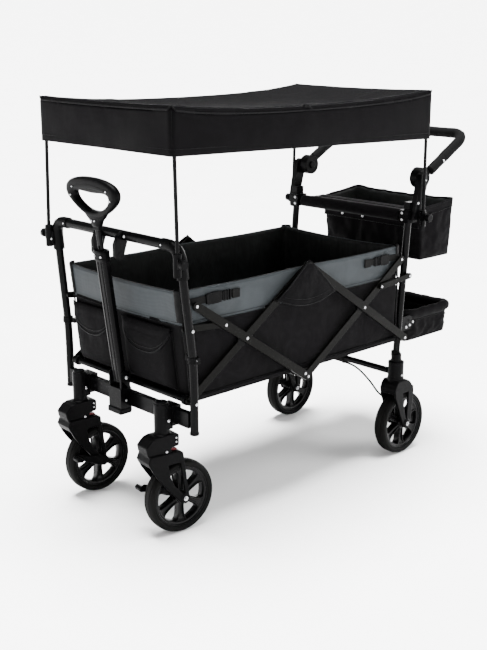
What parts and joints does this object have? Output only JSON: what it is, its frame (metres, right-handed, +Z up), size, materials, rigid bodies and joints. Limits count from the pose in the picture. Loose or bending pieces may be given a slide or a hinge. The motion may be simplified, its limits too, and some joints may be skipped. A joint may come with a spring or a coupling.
{
  "type": "folding pull wagon",
  "caption": "Folding fabric wagon with canopy, scissor side frame, swivel front wheels, telescoping pull handle, tilting push handle and rear baskets.",
  "frame": {"origin": "floor level under the centre of the whole wagon", "axes": "+X to the rear push handle, +Y to the right of a rider who faces the pull handle, +Z up"},
  "size_m": [1.278, 0.6046, 1.124],
  "materials": {
    "tube": "satin powder-coated black tube",
    "arm": "satin dark grey powder coat on flat bars",
    "plastic": "moulded black plastic, fine grain",
    "rim": "semi-gloss moulded black plastic",
    "tyre": "black rubber tyre",
    "red": "dark red moulded plastic",
    "black_cloth": "black woven polyester",
    "grey_cloth": "steel grey woven polyester with black body",
    "foam": "black foam sleeve",
    "rivet": "bright rivet heads"
  },
  "bodies": {
    "rear_frame": {"rear_upright_tube_left": "tube", "rear_upright_tube_right": "tube", "rear_cross_bar_and_posts": "tube", "rear_axle_bar": "tube", "rear_fork_left": "plastic", "rear_fork_right": "plastic", "rear_canopy_pole_left": "tube", "rear_canopy_pole_right": "tube", "upper_basket": "black_cloth", "lower_basket": "black_cloth", "bin": "grey_cloth", "floor_pad": "black_cloth", "canopy": "black_cloth", "brake_cable": "plastic"},
    "rear_wheel_left": {"rear_wheel_left_rim": "rim", "rear_wheel_left_tyre": "tyre"},
    "rear_wheel_right": {"rear_wheel_right_rim": "rim", "rear_wheel_right_tyre": "tyre"},
    "brake": {"brake_pedal": "plastic"},
    "rear_knob_left": {"rear_clamp_knob_left": "plastic"},
    "rear_knob_right": {"rear_clamp_knob_right": "plastic"},
    "push_handle": {"push_handle_bar": "foam", "push_handle_hub_left": "plastic", "push_handle_hub_right": "plastic"},
    "hub_button_l": {"hub_button_left": "plastic"},
    "hub_button_r": {"hub_button_right": "plastic"},
    "rear_down_arms": {"rear_down_arm_left": "arm", "rear_down_arm_right": "arm"},
    "rear_up_arms": {"rear_up_arms_and_cross_tube": "arm"},
    "front_up_arms": {"front_up_arm_left": "arm", "front_up_arm_right": "arm"},
    "front_down_arms": {"front_down_arm_left": "arm", "front_down_arm_right": "arm"},
    "front_links": {"front_link_left": "arm", "front_link_right": "arm"},
    "rear_links": {"rear_link_left": "arm", "rear_link_right": "arm"},
    "front_frame": {"front_upright_tube_left": "tube", "front_upright_tube_right": "tube", "front_corner_elbow_left": "plastic", "front_corner_elbow_right": "plastic", "front_upper_bar": "tube", "front_pivot_bar": "tube", "front_axle_bar": "tube", "front_canopy_pole_left": "tube", "front_canopy_pole_right": "tube"},
    "front_knob_left": {"front_clamp_knob_left": "plastic"},
    "front_knob_right": {"front_clamp_knob_right": "plastic"},
    "caster_left": {"front_fork_left": "plastic"},
    "caster_right": {"front_fork_right": "plastic"},
    "lock_lever_left": {"swivel_lock_lever_left": "red"},
    "lock_lever_right": {"swivel_lock_lever_right": "red"},
    "front_wheel_left": {"front_wheel_left_rim": "rim", "front_wheel_left_tyre": "tyre"},
    "front_wheel_right": {"front_wheel_right_rim": "rim", "front_wheel_right_tyre": "tyre"},
    "pull_handle": {"pull_handle_sleeve": "tube", "pull_handle_collar": "plastic"},
    "pull_handle_slider": {"pull_handle_inner_tube": "tube", "pull_handle_grip": "plastic"}
  },
  "joints": [
    {"name": "fold", "type": "hinge", "parent": "rear_frame", "child": "rear_down_arms", "pos_m": [0.33505, 0, 0.38], "axis": [0, 1, 0], "range_deg": [0, 40], "deforming": ["bin", "floor_pad", "canopy"]},
    {"name": "rear_crossing", "type": "hinge", "parent": "rear_down_arms", "child": "rear_up_arms", "pos_m": [0.14095, 0, 0.51], "axis": [0, 1, 0], "range_deg": [-81, 0]},
    {"name": "peak", "type": "hinge", "parent": "rear_down_arms", "child": "front_up_arms", "pos_m": [-0.09495, 0, 0.668], "axis": [0, 1, 0], "range_deg": [-81, 0]},
    {"name": "front_crossing", "type": "hinge", "parent": "front_up_arms", "child": "front_down_arms", "pos_m": [-0.33085, 0, 0.51], "axis": [0, 1, 0], "range_deg": [0, 81]},
    {"name": "front_pivot", "type": "hinge", "parent": "front_up_arms", "child": "front_frame", "pos_m": [-0.52495, 0, 0.38], "axis": [0, 1, 0], "range_deg": [0, 41]},
    {"name": "front_link_pivot", "type": "hinge", "parent": "front_frame", "child": "front_links", "pos_m": [-0.53745, 0, 0.572], "axis": [0, 1, 0], "range_deg": [-72.4, 0]},
    {"name": "rear_link_pivot", "type": "hinge", "parent": "rear_frame", "child": "rear_links", "pos_m": [0.34755, 0, 0.572], "axis": [0, 1, 0], "range_deg": [0, 72.4]},
    {"name": "caster_swivel_left", "type": "hinge", "parent": "front_frame", "child": "caster_left", "pos_m": [-0.56195, -0.181, 0.28], "axis": [0, 0, 1], "continuous": true},
    {"name": "front_wheel_spin_left", "type": "hinge", "parent": "caster_left", "child": "front_wheel_left", "pos_m": [-0.51322, -0.18612, 0.1], "axis": [0.1045, 0.9945, 0], "continuous": true},
    {"name": "swivel_lock_left", "type": "hinge", "parent": "caster_left", "child": "lock_lever_left", "pos_m": [-0.54206, -0.18309, 0.235], "axis": [0.1045, 0.9945, 0], "range_deg": [0, 8]},
    {"name": "rear_wheel_spin_left", "type": "hinge", "parent": "rear_frame", "child": "rear_wheel_left", "pos_m": [0.34805, -0.238, 0.1], "axis": [0, 1, 0], "continuous": true},
    {"name": "front_knob_turn_left", "type": "hinge", "parent": "front_frame", "child": "front_knob_left", "pos_m": [-0.57795, -0.29, 0.748], "axis": [0, -1, 0], "range_deg": [0, 180]},
    {"name": "rear_knob_turn_left", "type": "hinge", "parent": "rear_frame", "child": "rear_knob_left", "pos_m": [0.38405, -0.285, 0.748], "axis": [0, -1, 0], "range_deg": [0, 180]},
    {"name": "caster_swivel_right", "type": "hinge", "parent": "front_frame", "child": "caster_right", "pos_m": [-0.56195, 0.181, 0.28], "axis": [0, 0, 1], "continuous": true},
    {"name": "front_wheel_spin_right", "type": "hinge", "parent": "caster_right", "child": "front_wheel_right", "pos_m": [-0.51298, 0.17929, 0.1], "axis": [0.0349, 0.9994, 0], "continuous": true},
    {"name": "swivel_lock_right", "type": "hinge", "parent": "caster_right", "child": "lock_lever_right", "pos_m": [-0.54196, 0.1803, 0.235], "axis": [0.0349, 0.9994, 0], "range_deg": [0, 8]},
    {"name": "rear_wheel_spin_right", "type": "hinge", "parent": "rear_frame", "child": "rear_wheel_right", "pos_m": [0.34805, 0.238, 0.1], "axis": [0, 1, 0], "continuous": true},
    {"name": "front_knob_turn_right", "type": "hinge", "parent": "front_frame", "child": "front_knob_right", "pos_m": [-0.57795, 0.29, 0.748], "axis": [0, 1, 0], "range_deg": [0, 180]},
    {"name": "rear_knob_turn_right", "type": "hinge", "parent": "rear_frame", "child": "rear_knob_right", "pos_m": [0.38405, 0.285, 0.748], "axis": [0, 1, 0], "range_deg": [0, 180]},
    {"name": "pull_handle_tilt", "type": "hinge", "parent": "front_frame", "child": "pull_handle", "pos_m": [-0.55695, 0, 0.398], "axis": [0, -1, 0], "range_deg": [0, 95]},
    {"name": "pull_handle_extend", "type": "slide", "parent": "pull_handle", "child": "pull_handle_slider", "axis": [-0.1288, 0, 0.9917], "range_m": [0, 0.28]},
    {"name": "push_handle_tilt", "type": "hinge", "parent": "rear_frame", "child": "push_handle", "pos_m": [0.41405, 0, 0.86], "axis": [0, -1, 0], "range_deg": [-40, 45]},
    {"name": "hub_button_press_left", "type": "slide", "parent": "push_handle", "child": "hub_button_l", "axis": [0, -1, 0], "range_m": [0, 0.004], "stiffness_N_per_m": 600, "springref_m": -0.002},
    {"name": "hub_button_press_right", "type": "slide", "parent": "push_handle", "child": "hub_button_r", "axis": [0, 1, 0], "range_m": [0, 0.004], "stiffness_N_per_m": 600, "springref_m": -0.002},
    {"name": "brake_press", "type": "hinge", "parent": "rear_frame", "child": "brake", "pos_m": [0.39105, 0.238, 0.208], "axis": [0, 1, 0], "range_deg": [0, 14]}
  ],
  "couplings": [
    {"joint": "rear_crossing", "follows": "fold", "ratio": -2},
    {"joint": "peak", "follows": "fold", "ratio": -2},
    {"joint": "front_crossing", "follows": "fold", "ratio": 2},
    {"joint": "front_pivot", "follows": "fold", "ratio": 1},
    {"joint": "front_link_pivot", "follows": "fold", "ratio": -1.785},
    {"joint": "rear_link_pivot", "follows": "fold", "ratio": 1.785}
  ]
}
